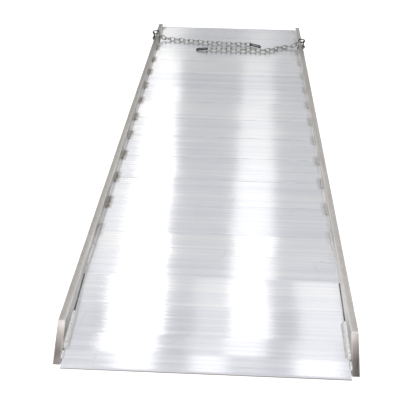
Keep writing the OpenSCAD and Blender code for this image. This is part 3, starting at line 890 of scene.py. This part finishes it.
for i in range(WIDE_COUNT + NARROW_COUNT):
    start, pitch, legs = i * WIDE, WIDE, 4
    if i >= WIDE_COUNT:
        start, pitch, legs = WIDE_COUNT * WIDE + (i - WIDE_COUNT) * NARROW, NARROW, 3
    level = -rnd.uniform(0, 0.25)
    plank_piece(f"plank_{i + 1}", plank_loop(start, pitch, legs), 2 * HALF_DECK, level)
plank_piece("approach_plank", approach_loop(), SLOPED_WIDTH)
plank_piece("toe_plank", toe_loop(), SLOPED_WIDTH)

# ---------------------------------------------------------------- rails, caps, plates and lip
for hand in SIDES:
    softened("rail_" + hand, "ramp", 0.0009)
    softened("mitre_plate_" + hand, "ramp", 0.0006)
    softened("end_cap_" + hand, "ramp", 0.0006)
softened("top_lip", "ramp", 0.0004)


# ---------------------------------------------------------------- stage, in metres
def make_floor():
    """A pale floor that glows a little, less so under the ramp."""
    me = bpy.data.meshes.new("floor")
    s = 30
    me.from_pydata([(-s, -s, 0), (s, -s, 0), (s, s, 0), (-s, s, 0)], [], [(0, 1, 2, 3)])
    ob = bpy.data.objects.new("floor", me)
    scene.collection.objects.link(ob)
    w = Net("floor", 0, 0.9)
    w.put((0.93, 0.93, 0.93), w.b.inputs["Base Color"])
    w.put(0.1, w.b.inputs["Specular IOR Level"])
    w.put((1.0, 1.0, 1.0), w.b.inputs["Emission Color"])
    beside = w.math("GREATER_THAN", w.off_centre(), (RAIL_OUTER - 3) * MM)
    beyond = w.math("GREATER_THAN", w.math("ABSOLUTE", w.axis(1)), 1.17)
    w.link(w.mad(w.math("MAXIMUM", beside, beyond), 0.4, 0.1), w.b.inputs["Emission Strength"])
    me.materials.append(w.m)


def make_world():
    """Grey light from all round, brighter and a little cooler above."""
    world = bpy.data.worlds.new("w")
    scene.world = world
    world.use_nodes = True
    tree = world.node_tree
    background = tree.nodes["Background"]
    background.inputs[1].default_value = 1
    direction = tree.nodes.new("ShaderNodeTexCoord")
    parts = tree.nodes.new("ShaderNodeSeparateXYZ")
    sky = tree.nodes.new("ShaderNodeValToRGB")
    tree.links.new(direction.outputs["Generated"], parts.inputs[0])
    tree.links.new(parts.outputs[2], sky.inputs["Fac"])
    tree.links.new(sky.outputs["Color"], background.inputs[0])
    low, cool = (0.6, 0.6, 0.6), (0.80, 0.805, 0.83)
    dim, pale = (0.68, 0.685, 0.71), (0.78, 0.785, 0.81)
    stops = ((0.25, low), (0.74, cool), (0.81, dim), (0.87, dim), (0.92, pale))
    while len(sky.color_ramp.elements) < len(stops):
        sky.color_ramp.elements.new(0.5)
    for e, (at, colour) in zip(sky.color_ramp.elements, stops):
        e.position, e.color = at, (*colour, 1)


def area(name, spot, target, width, length, power, colour=(1, 1, 1)):
    """A rectangular lamp at spot that faces target."""
    lamp = bpy.data.lights.new(name, "AREA")
    lamp.shape = "RECTANGLE"
    lamp.size, lamp.size_y = width, length
    lamp.energy = power
    lamp.color = colour
    ob = bpy.data.objects.new(name, lamp)
    scene.collection.objects.link(ob)
    ahead = (Vector(target) - Vector(spot)).normalized()
    ob.rotation_euler = ahead.to_track_quat("-Z", "Y").to_euler()
    ob.location = spot
    return ob


def strip(name, x0, y0, x1, y1, width, radiance):
    """A long warm panel 2.3 m up, from (x0, y0) to (x1, y1), facing down."""
    length = ((x1 - x0) ** 2 + (y1 - y0) ** 2) ** 0.5
    x, y = (x0 + x1) / 2, (y0 + y1) / 2
    power = radiance * pi * width * length
    ob = area(name, (x, y, 2.3), (x, y, 0), width, length, power, (1.0, 0.985, 0.95))
    ob.rotation_euler = (0, 0, atan2(x0 - x1, y1 - y0))


def deck_strips():
    """Panels beyond the high end, mirrored in the deck as bright bands along it."""
    for name, y0, y1, left, middle in (
        ("near", 1.25, 3.2, 1.45, 0.6),
        ("mid", 3.2, 5.6, 0.9, 0.39),
        ("far", 5.6, 8.2, 0.38, 0.13),
    ):
        strip("strip_left_" + name, -0.60 - 0.046 * y0, y0, -0.60 - 0.046 * y1, y1, 0.36, left)
        strip("strip_edge_" + name, -0.90 - 0.06 * y0, y0, -0.90 - 0.06 * y1, y1, 0.24, left * 0.22)
        strip("strip_right_" + name, 0.19 + 0.027 * y0, y0, 0.19 + 0.027 * y1, y1, 0.38, middle)


def toe_panels():
    """Panels above the ramp, mirrored in the slope and in the bevel of the toe."""
    slope = (
        (-0.605, 0.38, 1.5), (-0.98, 0.16, 0.16), (-0.09, 0.22, 0.24), (0.18, 0.28, 0.85), (0.69, 0.36, 0.4))
    bevel = ((-0.9, 0.3, 0.18), (-0.5, 0.24, 0.9), (-0.05, 0.22, 0.8), (0.64, 0.32, 0.9))
    for name, y0, y1, panels in (("slope", 0.05, 1.1, slope), ("bevel", -0.7, -0.08, bevel)):
        for i, (x, width, radiance) in enumerate(panels):
            strip(f"{name}_panel_{i}", x, y0, x, y1, width, radiance)


make_floor()
make_world()
deck_strips()
toe_panels()
# a broad soft light from beyond the toe
area("key", (-1.0, -3.5, 5.0), (0, 0, 0), 5, 5, 70)
